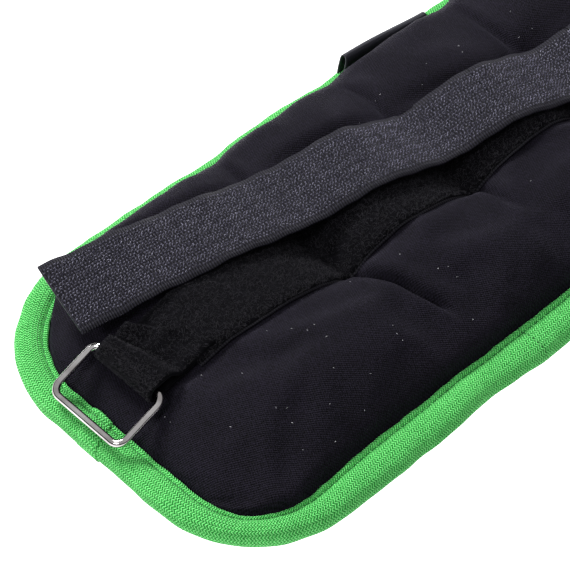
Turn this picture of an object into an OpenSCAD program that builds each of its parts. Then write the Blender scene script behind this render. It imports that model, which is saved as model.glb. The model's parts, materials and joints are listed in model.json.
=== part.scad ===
// Ankle cuff weight, laid flat and open. X runs along the cuff from the ring end (-X) to the
// strap end (+X), Y across it, and Z up from the face that lies against the leg.

/* [Cuff] */
// Length of the cuff laid flat
cuff_l = 344; // [320:2:380]
// Width of the cuff, over the binding
cuff_w = 150; // [130:2:170]
// Radius of the two corners on the -Y side
near_corner_r = 45; // [30:1:50]
// Radius of the two corners on the +Y side
far_corner_r = 50; // [40:1:55]
// Distance between the sewn valleys
valley_pitch = 60; // [55:1:66]
// Height of the pockets' crowns above the leg
crown_h = 25; // [20:1:28]
// Height of the cover where it is sewn down in a valley
valley_h = 17; // [12:0.5:18]
// Gap between neighbouring pocket sections
section_gap = 0.6; // [0.4:0.1:1]

/* [Edge] */
// Width of the binding on each face
band_w = 12.5; // [10:0.5:14]
// Height of the bound edge
band_h = 7.6; // [7:0.2:9]
// Height of the cover's flat rim inside the binding
rim_h = 5.1; // [4.8:0.1:5.2]

/* [Fabric] */
// Thickness of the padded cover
cover_t = 2.4; // [2:0.1:2.6]
// Thickness of the lining
lining_t = 2; // [1.5:0.1:2]
// Thickness of the loop tape
loop_t = 1.5; // [1:0.1:2]
// Width of the loop tape
loop_w = 30; // [25:1:32]
// Sideways offset of the tape from the centre line, at the middle of the cuff
tape_y = 5; // [0:1:8]
// Angle between the tape and the cuff
tape_skew = 2.3; // [0:0.1:3]

/* [Ring] */
// Diameter of the ring's wire
wire_d = 2.8; // [2.5:0.1:3]
// Length of the ring's bars, centre to centre of its sides
ring_w = 34.5; // [34:0.5:36]
// Distance between the ring's two bars, centre to centre
ring_d = 22.5; // [21:0.5:24]
// Slope of the resting ring
ring_slope = 21.3; // [20:0.1:22]

/* [Strap] */
// Width of the hook strap
strap_w = 31; // [28:1:32]
// Thickness of the hook strap
strap_t = 1.8; // [1.4:0.1:2]
// Angle at which the loose strap leaves the line of the tape
strap_skew = 9; // [6:0.5:10]

/* [Hidden] */

half_l = cuff_l / 2;
half_w = cuff_w / 2;
valleys = [-valley_pitch, 0, valley_pitch];
clear = 0.4;                 // gap between stacked layers
skin_gap = 0.1;              // gap between pieces that are sewn together
cut_over = 1;                // how far a cutting shape runs past what it cuts
min_t = 0.5;                 // thinnest that a sheet gets where it meets its floor
edge_inset = 1.5;            // layers stop this far inside the binding's outer edge
slot_h = 5.4;                // top of the slot in the binding
slot_z = 1;                  // bottom of that slot
crown_gap = 1;               // flat strip between the binding and the rise of the cover
end_ramp = 60;               // run over which the ends rise to a valley's height
bag_inset = 19;              // from the cuff's edge to the weight bag
bag_gap = 9;                 // from a valley to the weight bag
bag_slack = 1.4;             // between the cover and the weight bag
bag_t = 0.8;
bag_rim_h = 4;               // height of the bag's top skin at its rim
fill_gap = 2;                // from the bag's edge to the packed shot
fill_slack = 1;              // between the bag's top skin and the packed shot
web_t = 0.8;
web_offset = 0.5;            // from the wall to the section's end
web_inset = 35;              // from the cuff's edge to the fabric wall in a valley
web_top_gap = 4;             // from the wall's top to the cover above it
end_fullness = 0.8;          // smaller values make the pockets boxier
mid_fullness = 0.78;
side_fullness = 0.7;
side_power = 2.4;
ring_x = -146.5;             // the ring's bar that the holder is folded round
ring_z = 20.6;
tape_start = 26;             // from that bar to the end of the loop tape
wire_r = wire_d / 2;
ring_bend_r = 4;
holder_r = 3.8;
holder_bore_r = wire_r + 0.3;
holder_lip = 0.6;            // step where the tail leaves the fold
holder_play = 4;             // how much narrower the holder is than the ring's opening
holder_tail = 25;            // length of the holder's sewn tail
holder_tail_t = 2.4;
join_y = 3;                  // where the lap of the binding's two ends starts
join_outer = 6;              // width of the lap at the outer edge
join_inner = 4;              // and at the inner one
join_lean = 6;               // how far the lap runs along the end on its way in
join_t = 0.9;
tab_x = 12;
tab_l = 43;
tab_w = 4;                   // depth of the label tab, over both layers
tab_t = 0.8;                 // one layer of it
tab_top = 19;                // height of the label tab's fold above the leg
tab_fold = 1.5;              // height of the rounded fold
tab_lean = 0.4;
tab_inset = 6;               // from the cuff's edge to the tab
anchor_x0 = 118;             // stitched part of the strap
anchor_x1 = 156;
strap_end_x = -145;
strap_h = 28.2;              // underside of the loose strap over the crowns
fold_gap = 0.9;              // between the fold and the stitched end under it
strap_dip = 4;               // how far it sags into each valley
dip_len = 15;
strap_turn_x = 75;           // the strap leaves the tape's line here
green = [0.24, 0.85, 0.36];
black = [0.09, 0.085, 0.11];
soft_black = [0.05, 0.05, 0.06];
strap_grey = [0.17, 0.17, 0.22];

// Start and end of each pocket section along X.
function section_start(i) = i == 1 ? -half_l : valleys[i - 2] + section_gap / 2;
function section_end(i) = i == 4 ? half_l : valleys[i - 1] - section_gap / 2;

// How far a rounded corner of radius r pulls in at distance d from the end.
function corner_in(d, r) = d >= r ? 0 : r - sqrt(max(0, r * r - (r - max(d, 0)) * (r - max(d, 0))));
function near_y(x, e) = -half_w + e + corner_in(half_l - e - abs(x), near_corner_r - e);
function far_y(x, e) = half_w - e - corner_in(half_l - e - abs(x), far_corner_r - e);

function clamp01(t) = min(1, max(0, t));

// Middle line of the loop tape, which also carries the ring and the strap.
function tape_line(x) = tape_y - tan(tape_skew) * x;

// The cover's outer surface: a crown in each pocket, low in the valleys and flat at the rim.
crown_inset = band_w + crown_gap;
crown_end = half_l - crown_inset;
function crown_x(x, i) =
    let (a = i == 1 ? -crown_end : valleys[i - 2], b = i == 4 ? crown_end : valleys[i - 1])
    pow(sin(180 * clamp01((x - a) / (b - a))), i == 1 || i == 4 ? end_fullness : mid_fullness);
function crown_y(x, y) =
    let (n = near_y(x, crown_inset), f = far_y(x, crown_inset),
        v = clamp01(abs((2 * y - n - f) / max(1, f - n))))
    pow(1 - pow(v, side_power), side_fullness);
function base_h(x, y) = rim_h + (valley_h - rim_h) * crown_y(x, y) * clamp01((crown_end - abs(x)) / end_ramp);
function inside_rim(x) = abs(x) < crown_end ? 1 : 0;
function cover_z(x, y, i) =
    let (b = base_h(x, y)) b + (crown_h - b) * crown_x(x, i) * crown_y(x, y) * inside_rim(x);

// Positions along a section, closer together towards a rounded end.
function spread(t, i) = i == 1 ? pow(t, 1.5) : i == 4 ? 1 - pow(1 - t, 1.5) : t;
function along(a, b, n, i) = [for (k = [0 : n]) a + (b - a) * spread(k / n, i)];

// A closed sheet over a grid of rows: top points, then bottom points, then the rim.
module sheet(top, bottom) {
    rows = len(top);
    cols = len(top[0]);
    all = concat([for (r = top) each r], [for (r = bottom) each r]);
    base = rows * cols;
    function id(r, c) = r * cols + c;
    faces = concat(
        [for (r = [0 : rows - 2], c = [0 : cols - 2]) [id(r, c), id(r, c + 1), id(r + 1, c + 1)]],
        [for (r = [0 : rows - 2], c = [0 : cols - 2]) [id(r, c), id(r + 1, c + 1), id(r + 1, c)]],
        [for (r = [0 : rows - 2], c = [0 : cols - 2])
            [base + id(r, c), base + id(r + 1, c + 1), base + id(r, c + 1)]],
        [for (r = [0 : rows - 2], c = [0 : cols - 2])
            [base + id(r, c), base + id(r + 1, c), base + id(r + 1, c + 1)]],
        [for (r = [0 : rows - 2]) [id(r, 0), id(r + 1, 0), base + id(r + 1, 0), base + id(r, 0)]],
        [for (r = [0 : rows - 2])
            [id(r + 1, cols - 1), id(r, cols - 1), base + id(r, cols - 1), base + id(r + 1, cols - 1)]],
        [for (c = [0 : cols - 2]) [id(0, c + 1), id(0, c), base + id(0, c), base + id(0, c + 1)]],
        [for (c = [0 : cols - 2])
            [id(rows - 1, c), id(rows - 1, c + 1), base + id(rows - 1, c + 1), base + id(rows - 1, c)]]
    );
    polyhedron(points = all, faces = faces);
}

// Sheet between two heights over part of a pocket, inset e from the cuff's edge. A rim under the
// binding has its own rows, so that the rise starts inside the binding's inner edge.
module pocket_sheet(i, a, b, e, nx, ny, drop_top, drop_bottom, floor_z) {
    rim = e < crown_inset;
    inner = max(e, crown_inset);
    from = max(a, -crown_end);
    to = min(b, crown_end);
    xs = concat(a < from ? [a] : [], along(from, to, nx, i), b > to ? [b] : []);
    function inner_ys(x) =
        [for (k = [0 : ny]) near_y(x, inner) + (far_y(x, inner) - near_y(x, inner)) * k / ny];
    function ys(x) = rim ? concat([near_y(x, e)], inner_ys(x), [far_y(x, e)]) : inner_ys(x);
    function z(x, y, drop) = max(floor_z, cover_z(x, y, i) - drop);
    top = [for (x = xs) [for (y = ys(x)) [x, y, z(x, y, drop_top)]]];
    bottom = [for (x = xs) [for (y = ys(x)) [x, y, min(z(x, y, drop_bottom), z(x, y, drop_top) - min_t)]]];
    sheet(top, bottom);
}

// Strip of tape that lies on the cover, from a to b along X.
module tape_strip(i, a, b, width, t, nx) {
    xs = [for (k = [0 : nx]) a + (b - a) * k / nx];
    sides = [for (k = [0 : 4]) width * (k / 4 - 0.5)];
    function z(x) = cover_z(x, tape_line(x), i) + clear;
    top = [for (x = xs) [for (s = sides) [x, tape_line(x) + s, z(x) + t]]];
    bottom = [for (x = xs) [for (s = sides) [x, tape_line(x) + s, z(x)]]];
    sheet(top, bottom);
}

module outline(e) {
    n = 10;
    arc = function (cx, cy, r, a0)
        [for (k = [0 : n]) [cx + r * cos(a0 + 90 * k / n), cy + r * sin(a0 + 90 * k / n)]];
    cn = near_corner_r;
    cf = far_corner_r;
    polygon(concat(
        arc(half_l - cf, half_w - cf, cf - e, 0),
        arc(-half_l + cf, half_w - cf, cf - e, 90),
        arc(-half_l + cn, -half_w + cn, cn - e, 180),
        arc(half_l - cn, -half_w + cn, cn - e, 270)
    ));
}

// The outline between a section's ends, raised from z0 to z1. A cutting shape runs over both ends.
module section_plate(i, e, z0, z1, over = 0) {
    translate([0, 0, z0]) linear_extrude(z1 - z0) intersection() {
        outline(e);
        translate([section_start(i) - over, -half_w])
            square([section_end(i) - section_start(i) + 2 * over, cuff_w]);
    }
}

module cover(i) {
    color(black) pocket_sheet(i, max(section_start(i), -half_l + edge_inset),
        min(section_end(i), half_l - edge_inset), edge_inset, 22, 16, 0, cover_t, slot_z);
}

module lining(i) {
    color(soft_black) union() {
        section_plate(i, band_w + clear, 0, lining_t);
        section_plate(i, edge_inset, slot_z + skin_gap, lining_t);
    }
}

// A sewn bag of thin fabric in two skins.
module weight_bag(i) {
    a = i == 1 ? -half_l + bag_inset : section_start(i) + bag_gap;
    b = i == 4 ? half_l - bag_inset : section_end(i) - bag_gap;
    color("dimgray") {
        pocket_sheet(i, a, b, bag_inset, 12, 10, cover_t + bag_slack, cover_t + bag_slack + bag_t,
            bag_rim_h);
        translate([0, 0, lining_t + skin_gap]) linear_extrude(bag_t) intersection() {
            outline(bag_inset);
            translate([a, -half_w]) square([b - a, cuff_w]);
        }
    }
}

// The packed shot as one solid.
module shot_fill(i) {
    a = (i == 1 ? -half_l + bag_inset : section_start(i) + bag_gap) + fill_gap;
    b = (i == 4 ? half_l - bag_inset : section_end(i) - bag_gap) - fill_gap;
    floor_z = lining_t + bag_t + 2 * skin_gap;
    drop = cover_t + bag_slack + bag_t + fill_slack;
    xs = along(a, b, 12, i);
    e = bag_inset + fill_gap;
    function y_at(x, k) = near_y(x, e) + (far_y(x, e) - near_y(x, e)) * k / 10;
    top = [for (x = xs) [for (k = [0 : 10])
        [x, y_at(x, k), max(floor_z + 0.3, cover_z(x, y_at(x, k), i) - drop)]]];
    bottom = [for (x = xs) [for (k = [0 : 10]) [x, y_at(x, k), floor_z]]];
    color("slategray") sheet(top, bottom);
}

// Folded knitted tape round the edge, with a slot for the cover and the lining.
module edge_binding(i) {
    color(green) difference() {
        section_plate(i, 0, 0, band_h);
        section_plate(i, band_w, -cut_over, band_h + cut_over, cut_over);
        section_plate(i, edge_inset - 2 * skin_gap, slot_z, slot_h, cut_over);
    }
}

// Fabric wall that is sewn between the cover and the lining at a valley.
module partition(i) {
    x = section_end(i) - web_t - web_offset;
    h = valley_h - cover_t - lining_t - web_top_gap;
    color("dimgray") translate([x, -half_w + web_inset, lining_t + skin_gap])
        cube([web_t, cuff_w - 2 * web_inset, h]);
}

module loop_tape(i) {
    a = i == 1 ? ring_x + tape_start : section_start(i);
    b = i == 4 ? anchor_x0 - clear : section_end(i);
    color(soft_black) tape_strip(i, a, b, loop_w, loop_t, 14);
}

// Rectangular wire ring, its held bar along Y through the local origin.
module ring() {
    side = ring_w / 2;
    color("silver") translate([ring_x, tape_line(ring_x), ring_z]) rotate([0, -ring_slope, 0]) {
        for (x = [0, -ring_d])
            translate([x, side - ring_bend_r, 0]) rotate([90, 0, 0])
                cylinder(r = wire_r, h = ring_w - 2 * ring_bend_r, $fn = 32);
        for (s = [-1, 1])
            translate([-ring_bend_r, s * side, 0]) rotate([0, -90, 0])
                cylinder(r = wire_r, h = ring_d - 2 * ring_bend_r, $fn = 32);
        for (s = [-1, 1])
            translate([-ring_bend_r, s * (side - ring_bend_r), 0]) rotate([0, 0, s > 0 ? 0 : -90])
                rotate_extrude(angle = 90, $fn = 48) translate([ring_bend_r, 0]) circle(r = wire_r, $fn = 32);
        for (s = [-1, 1])
            translate([-ring_d + ring_bend_r, s * (side - ring_bend_r), 0]) rotate([0, 0, s > 0 ? 90 : 180])
                rotate_extrude(angle = 90, $fn = 48) translate([ring_bend_r, 0]) circle(r = wire_r, $fn = 32);
    }
}

// Highest point of the cover under the holder's width, which the straight fold has to clear.
function holder_z(x) = cover_z(x, tape_line(x), 1) + clear;

// Loop tape folded round the ring's bar, with its tail sewn to the cover.
module ring_holder() {
    width = ring_w - wire_d - holder_play;
    tail = [for (x = [holder_r : 3 : holder_tail]) [x, holder_z(ring_x + x) - ring_z]];
    tail_end = tail[len(tail) - 1];
    color(soft_black) translate([ring_x, tape_line(ring_x) + width / 2, ring_z]) rotate([90, 0, 0])
        linear_extrude(width) difference() {
            union() {
                circle(r = holder_r, $fn = 40);
                polygon(concat([[0, -holder_r]], tail,
                    [tail_end + [0, holder_tail_t], [holder_tail / 2, tail_end[1] + holder_tail_t]],
                    [[2, holder_r - holder_lip], [0, holder_r - holder_lip]]));
            }
            circle(r = holder_bore_r, $fn = 40);
        }
}

// Where the two ends of the binding lap, on the ring end.
module binding_join() {
    inner = band_w - edge_inset;
    color(green) translate([-half_l + min_t, join_y, band_h + skin_gap]) linear_extrude(join_t)
        polygon([[0, 0], [0, join_outer], [inner, join_lean + join_inner], [inner, join_lean]]);
}

// Blank folded tab that stands on the binding of the far edge.
module label_tab() {
    h = tab_top - band_h;
    // Half of the fold's width is left at its top.
    function profile(t) = [[t, t > 0 ? -cut_over : 0], [tab_w - tab_lean - t, t > 0 ? -cut_over : 0],
        [tab_w - t, h - tab_fold], [tab_w * 0.75 - t / 2, h - t],
        [tab_w * 0.25 + tab_lean + t / 2, h - t], [tab_lean + t, h - tab_fold]];
    color(black) translate([tab_x, half_w - tab_inset, band_h + skin_gap]) rotate([90, 0, 90])
        linear_extrude(tab_l) difference() {
            polygon(profile(0));
            polygon(profile(tab_t));
        }
}

// Underside of the loose strap, measured along the cuff.
function fold_lift(x) = cover_z(x, tape_line(x), 4) + clear + loop_t + fold_gap;
function strap_sag(x) = strap_dip * (exp(-pow((x - valleys[0]) / dip_len, 2))
    + exp(-pow((x - valleys[1]) / dip_len, 2)) + exp(-pow((x - valleys[2]) / dip_len, 2)));
function strap_z(x) = x > anchor_x0 ? min(strap_h, fold_lift(x)) : strap_h - strap_sag(x);

function strap_y(x) = tape_line(x) + tan(strap_skew) * max(0, strap_turn_x - x);

// One stretch of strap between two places along the cuff.
module strap_stretch(a, b, n) {
    xs = [for (k = [0 : n]) a + (b - a) * k / n];
    sides = [-strap_w / 2, 0, strap_w / 2];
    over = [for (x = xs) [for (s = sides) [x, strap_y(x) + s, strap_z(x) + strap_t]]];
    under = [for (x = xs) [for (s = sides) [x, strap_y(x) + s, strap_z(x)]]];
    color(strap_grey) sheet(over, under);
}

// The sewn end of the strap, under its own fold.
module strap_anchor() {
    color(strap_grey) tape_strip(4, anchor_x0, anchor_x1, loop_w, loop_t, 8);
}

module strap_1() { strap_stretch(strap_end_x, valleys[0] - section_gap / 2, 10); }
module strap_2() { strap_stretch(valleys[0] + section_gap / 2, valleys[1] - section_gap / 2, 8); }
module strap_3() { strap_stretch(valleys[1] + section_gap / 2, valleys[2] - section_gap / 2, 8); }
module strap_4() { strap_stretch(valleys[2] + section_gap / 2, anchor_x1, 12); }

cover(1);  // cover_1
cover(2);  // cover_2
cover(3);  // cover_3
cover(4);  // cover_4
lining(1);  // lining_1
lining(2);  // lining_2
lining(3);  // lining_3
lining(4);  // lining_4
weight_bag(1);  // weight_bag_1
weight_bag(2);  // weight_bag_2
weight_bag(3);  // weight_bag_3
weight_bag(4);  // weight_bag_4
shot_fill(1);  // shot_fill_1
shot_fill(2);  // shot_fill_2
shot_fill(3);  // shot_fill_3
shot_fill(4);  // shot_fill_4
edge_binding(1);  // edge_binding_1
edge_binding(2);  // edge_binding_2
edge_binding(3);  // edge_binding_3
edge_binding(4);  // edge_binding_4
partition(1);  // partition_1
partition(2);  // partition_2
partition(3);  // partition_3
loop_tape(1);  // loop_tape_1
loop_tape(2);  // loop_tape_2
loop_tape(3);  // loop_tape_3
loop_tape(4);  // loop_tape_4
ring();
ring_holder();
binding_join();
label_tab();
strap_anchor();
strap_1();
strap_2();
strap_3();
strap_4();
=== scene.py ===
import bpy
import json
import math
import random
import numpy as np
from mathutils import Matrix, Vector


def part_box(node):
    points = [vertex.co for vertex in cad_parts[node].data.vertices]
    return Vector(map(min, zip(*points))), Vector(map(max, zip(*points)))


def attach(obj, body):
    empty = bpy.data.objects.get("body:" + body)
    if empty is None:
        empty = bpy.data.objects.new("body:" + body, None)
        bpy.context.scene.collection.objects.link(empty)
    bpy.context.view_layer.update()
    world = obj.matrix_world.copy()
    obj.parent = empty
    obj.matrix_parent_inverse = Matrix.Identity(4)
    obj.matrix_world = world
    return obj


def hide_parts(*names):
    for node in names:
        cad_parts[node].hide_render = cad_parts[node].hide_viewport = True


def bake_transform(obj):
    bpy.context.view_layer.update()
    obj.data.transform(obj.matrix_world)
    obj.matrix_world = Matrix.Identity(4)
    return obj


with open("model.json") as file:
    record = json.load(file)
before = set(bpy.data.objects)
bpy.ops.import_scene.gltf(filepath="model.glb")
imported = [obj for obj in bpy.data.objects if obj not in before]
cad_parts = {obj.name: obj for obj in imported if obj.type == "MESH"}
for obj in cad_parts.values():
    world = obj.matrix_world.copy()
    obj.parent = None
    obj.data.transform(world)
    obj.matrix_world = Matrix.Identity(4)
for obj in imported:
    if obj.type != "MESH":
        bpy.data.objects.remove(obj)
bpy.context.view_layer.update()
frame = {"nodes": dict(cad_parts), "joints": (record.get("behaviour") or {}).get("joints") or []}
rng = random.Random(11)
MM = 0.001

# ---- sizes, in millimetres, from the frame


def box_mm(node):
    lo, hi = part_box(node)
    return np.array(lo) / MM, np.array(hi) / MM


JOINT = {j["name"]: j for j in frame["joints"]}
edge_lo, edge_hi = box_mm("edge_binding_1")
HALF_L = -edge_lo[0]
HALF_W = edge_hi[1]
VALLEYS = [JOINT[f"wrap_{i}"]["pos_m"][0] / MM for i in (1, 2, 3)]
CROWN = box_mm("cover_1")[1][2]
RING_X, RING_Y, RING_Z = (c / MM for c in JOINT["ring_swing"]["pos_m"])
tape_ends = [sum(box_mm(n)) / 2 for n in ("loop_tape_1", "loop_tape_4")]
TAPE_SLOPE = (tape_ends[1][1] - tape_ends[0][1]) / (tape_ends[1][0] - tape_ends[0][0])
TAPE_Y = tape_ends[0][1] - TAPE_SLOPE * tape_ends[0][0]
TAPE_W = 30.0
STRAP_LO = box_mm("strap_1")[0]
ANCHOR_LO, ANCHOR_HI = box_mm("strap_anchor")
TAB_LO, TAB_HI = box_mm("label_tab")
JOIN_LO, JOIN_HI = box_mm("binding_join")
BAND = 12.3          # width of the binding on the outer face
NEAR_R, FAR_R = 45.0, 50.0
NEAR_NARROWING = 0.57    # how much faster than the inset the near corners' inner radius shrinks
NEAR_EXTRA = 0.19        # the binding shows this much wider along the near side
RIM_Z = 7.4          # where the cover comes out from under the binding
SPLITS = [(VALLEYS[0] + VALLEYS[1]) / 2, (VALLEYS[1] + VALLEYS[2]) / 2]
STRAP_W = 31.0
STRAP_TURN_X = 75.0
STRAP_SLOPE = math.tan(math.radians(9))


def tape_mid(x):
    """The tape's middle line, slightly askew."""
    return TAPE_Y + TAPE_SLOPE * x


# ---- mesh helpers
def mesh_object(name, verts_mm, faces, material, uv=None):
    """An object from points in millimetres; uv is one pair a point, in metres."""
    mesh = bpy.data.meshes.new(name)
    mesh.from_pydata((np.asarray(verts_mm) * MM).tolist(), [], [tuple(int(i) for i in f) for f in faces])
    mesh.validate()
    mesh.polygons.foreach_set("use_smooth", [True] * len(mesh.polygons))
    if uv is not None:
        layer = mesh.uv_layers.new(name="flat")
        index = np.zeros(len(mesh.loops), dtype=np.int64)
        mesh.loops.foreach_get("vertex_index", index)
        layer.data.foreach_set("uv", np.asarray(uv, float)[index].ravel())
    mesh.materials.append(material)
    mesh.update()
    obj = bpy.data.objects.new(name, mesh)
    bpy.context.scene.collection.objects.link(obj)
    return obj


def grid_faces(rows, cols, closed_cols=False):
    faces = []
    for r in range(rows - 1):
        for c in range(cols if closed_cols else cols - 1):
            d = (c + 1) % cols
            faces.append((r * cols + c, r * cols + d, (r + 1) * cols + d, (r + 1) * cols + c))
    return faces


def closed_sheet(top, bottom):
    """Points and faces of a closed slab between two grids of the same shape (rows, cols, 3)."""
    rows, cols = top.shape[:2]
    n = rows * cols
    faces = grid_faces(rows, cols)
    faces += [tuple(n + i for i in f[::-1]) for f in grid_faces(rows, cols)]
    rim = [c for c in range(cols)]
    rim += [r * cols + cols - 1 for r in range(1, rows)]
    rim += [(rows - 1) * cols + c for c in range(cols - 2, -1, -1)]
    rim += [r * cols for r in range(rows - 2, 0, -1)]
    for a, b in zip(rim, rim[1:] + rim[:1]):
        faces.append((b, a, n + a, n + b))
    verts = np.concatenate([top.reshape(-1, 3), bottom.reshape(-1, 3)])
    quads = verts[np.array(faces)] - verts.mean(axis=0)
    halves = np.concatenate([quads[:, (0, 1, 2)], quads[:, (0, 2, 3)]])
    volume = np.einsum("ij,ij->i", halves[:, 0], np.cross(halves[:, 1], halves[:, 2])).sum()
    return verts, [f[::-1] for f in faces] if volume < 0 else faces


def smoothstep(t):
    t = np.clip(t, 0, 1)
    return t * t * (3 - 2 * t)


def wobble(x, y, scale, seed):
    """Smooth seeded unevenness between about -1 and 1."""
    g = random.Random(seed)
    total = 0
    for k in range(5):
        a = g.uniform(0, 2 * math.pi)
        f = 2 * math.pi / scale * g.uniform(0.6, 1.7)
        total = total + np.sin(f * (x * math.cos(a) + y * math.sin(a)) + g.uniform(0, 6.28))
    return total / 3.2


# ---- materials
def new_material(name):
    m = bpy.data.materials.new(name)
    m.use_nodes = True
    m.node_tree.nodes.clear()
    tree = m.node_tree
    out = tree.nodes.new("ShaderNodeOutputMaterial")
    bsdf = tree.nodes.new("ShaderNodeBsdfPrincipled")
    tree.links.new(bsdf.outputs[0], out.inputs[0])
    return m, tree, bsdf


def node(tree, kind, **values):
    n = tree.nodes.new(kind)
    for key, value in values.items():
        setattr(n, key, value)
    return n


def math_node(tree, operation, a, b=None):
    n = node(tree, "ShaderNodeMath", operation=operation)
    for i, v in enumerate((a, b)):
        if v is None:
            continue
        if isinstance(v, (int, float)):
            n.inputs[i].default_value = v
        else:
            tree.links.new(v, n.inputs[i])
    return n.outputs[0]


def add(tree, a, b):
    return math_node(tree, "ADD", a, b)


def sub(tree, a, b):
    return math_node(tree, "SUBTRACT", a, b)


def mul(tree, a, b):
    return math_node(tree, "MULTIPLY", a, b)


def settings(shader, **values):
    """Sets the shader's own sockets, whose names are written with underscores here."""
    for name, value in values.items():
        shader.inputs[name.replace("_", " ")].default_value = value


def noise(tree, vector, scale, detail=3.0, roughness=0.6):
    n = node(tree, "ShaderNodeTexNoise")
    n.inputs["Scale"].default_value = scale
    n.inputs["Detail"].default_value = detail
    n.inputs["Roughness"].default_value = roughness
    tree.links.new(vector, n.inputs["Vector"])
    return n.outputs["Fac"]


def ramp(tree, fac, stops):
    n = node(tree, "ShaderNodeValToRGB")
    while len(n.color_ramp.elements) < len(stops):
        n.color_ramp.elements.new(0.5)
    for e, (pos, colour) in zip(n.color_ramp.elements, stops):
        e.position = pos
        e.color = (*colour, 1)
    tree.links.new(fac, n.inputs[0])
    return n.outputs[0]


def bump(tree, height, strength, distance):
    n = node(tree, "ShaderNodeBump")
    n.inputs["Strength"].default_value = strength
    n.inputs["Distance"].default_value = distance
    tree.links.new(height, n.inputs["Height"])
    return n.outputs[0]


def place(tree):
    """Object position in metres, so patterns keep their real scale."""
    return node(tree, "ShaderNodeTexCoord").outputs["Object"]


def flat_uv(tree):
    """The flat layout's two coordinates, in metres."""
    uv = node(tree, "ShaderNodeUVMap", uv_map="flat").outputs[0]
    split = node(tree, "ShaderNodeSeparateXYZ")
    tree.links.new(uv, split.inputs[0])
    return split.outputs[0], split.outputs[1]


def wave(tree, value, pitch):
    """Sine of a coordinate with that pitch in metres, from -1 to 1."""
    return math_node(tree, "SINE", mul(tree, value, 2 * math.pi / pitch))


def neoprene(name, dark, light, rough=0.82, sheen=0.5):
    """Napped stretch knit over foam: fine diagonal wales, mottling and a soft nap."""
    m, tree, bsdf = new_material(name)
    pos = place(tree)
    split = node(tree, "ShaderNodeSeparateXYZ")
    tree.links.new(pos, split.inputs[0])
    x, y = split.outputs[0], split.outputs[1]
    wale = wave(tree, add(tree, x, mul(tree, y, 0.35)), 0.00105)
    course = wave(tree, sub(tree, y, mul(tree, x, 0.2)), 0.0012)
    knit = mul(tree, wale, course)
    grain = noise(tree, pos, 1500, 2)
    mottle = noise(tree, pos, 55, 4)
    mixed = add(tree, mul(tree, grain, 0.6), mul(tree, mottle, 0.16))
    mixed = add(tree, mixed, mul(tree, knit, 0.11))
    colour = ramp(tree, mixed, [(0.27, dark), (0.50, light)])
    tree.links.new(colour, bsdf.inputs["Base Color"])
    rough_map = add(tree, mul(tree, grain, 0.2), rough - 0.1)
    tree.links.new(rough_map, bsdf.inputs["Roughness"])
    height = add(tree, mul(tree, knit, 0.35), grain)
    tree.links.new(bump(tree, height, 0.8, 0.0004), bsdf.inputs["Normal"])
    settings(bsdf, Sheen_Weight=sheen, Sheen_Roughness=0.35, Sheen_Tint=(0.8, 0.77, 1.0, 1),
                   Specular_IOR_Level=0.10)
    return m


def binding_knit():
    """Bright green weft knit: rows of small chevrons along the tape."""
    m, tree, bsdf = new_material("binding_knit")
    u, v = flat_uv(tree)
    pitch_v, pitch_u = 0.00185, 0.00105
    row = math_node(tree, "FRACT", math_node(tree, "DIVIDE", v, pitch_v))
    zig = math_node(tree, "ABSOLUTE", sub(tree, row, 0.5))
    shifted = add(tree, u, mul(tree, zig, pitch_u * 1.5))
    loops = wave(tree, shifted, pitch_u)
    groove = math_node(tree, "ABSOLUTE", sub(tree, zig, 0.25))
    pos = place(tree)
    fine = noise(tree, pos, 900, 3)
    patch = noise(tree, pos, 40, 3)
    shade = add(tree, mul(tree, loops, 0.26), mul(tree, fine, 0.45))
    shade = add(tree, shade, mul(tree, patch, 0.2))
    shade = sub(tree, shade, mul(tree, groove, 0.45))
    colour = ramp(tree, add(tree, shade, 0.2),
                  [(0.2, (0.012, 0.24, 0.03)), (0.46, (0.075, 0.66, 0.105)), (0.72, (0.24, 0.9, 0.26))])
    tree.links.new(colour, bsdf.inputs["Base Color"])
    height = sub(tree, mul(tree, loops, 0.7), mul(tree, groove, 2.2))
    height = add(tree, height, mul(tree, fine, 0.7))
    tree.links.new(bump(tree, height, 0.9, 0.0004), bsdf.inputs["Normal"])
    settings(bsdf, Roughness=0.85, Sheen_Weight=0.12, Sheen_Roughness=0.5, Sheen_Tint=(0.6, 1.0, 0.6, 1),
                   Specular_IOR_Level=0.2)
    return m


def pile(name, dark, light):
    """Brushed loop pile: near black with a broken, fuzzy surface."""
    m, tree, bsdf = new_material(name)
    pos = place(tree)
    tufts = noise(tree, pos, 1100, 4, 0.75)
    clump = noise(tree, pos, 260, 3)
    mixed = add(tree, mul(tree, tufts, 0.7), mul(tree, clump, 0.4))
    tree.links.new(ramp(tree, mixed, [(0.46, dark), (0.68, light)]), bsdf.inputs["Base Color"])
    tree.links.new(bump(tree, mixed, 0.9, 0.0006), bsdf.inputs["Normal"])
    settings(bsdf, Roughness=0.95, Sheen_Weight=0.02, Sheen_Roughness=0.6, Sheen_Tint=(0.7, 0.7, 0.85, 1),
                   Specular_IOR_Level=0.05)
    return m


def woven(name, dark, light, rib=0.00098, across=0.0016, strength=0.7):
    """Woven tape: ribs across its length, crossed by finer warp."""
    m, tree, bsdf = new_material(name)
    u, v = flat_uv(tree)
    ribs = wave(tree, u, rib)
    warp = wave(tree, v, across)
    pos = place(tree)
    fine = noise(tree, pos, 1400, 3)
    mixed = add(tree, mul(tree, ribs, 0.3), mul(tree, fine, 0.6))
    mixed = add(tree, mixed, mul(tree, warp, 0.05))
    colour = ramp(tree, add(tree, mixed, 0.2), [(0.2, dark), (0.75, light)])
    tree.links.new(colour, bsdf.inputs["Base Color"])
    height = add(tree, ribs, mul(tree, warp, 0.3))
    height = add(tree, height, mul(tree, fine, 0.5))
    tree.links.new(bump(tree, height, strength, 0.00025), bsdf.inputs["Normal"])
    settings(bsdf, Roughness=0.6, Specular_IOR_Level=0.25)
    return m


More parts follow.
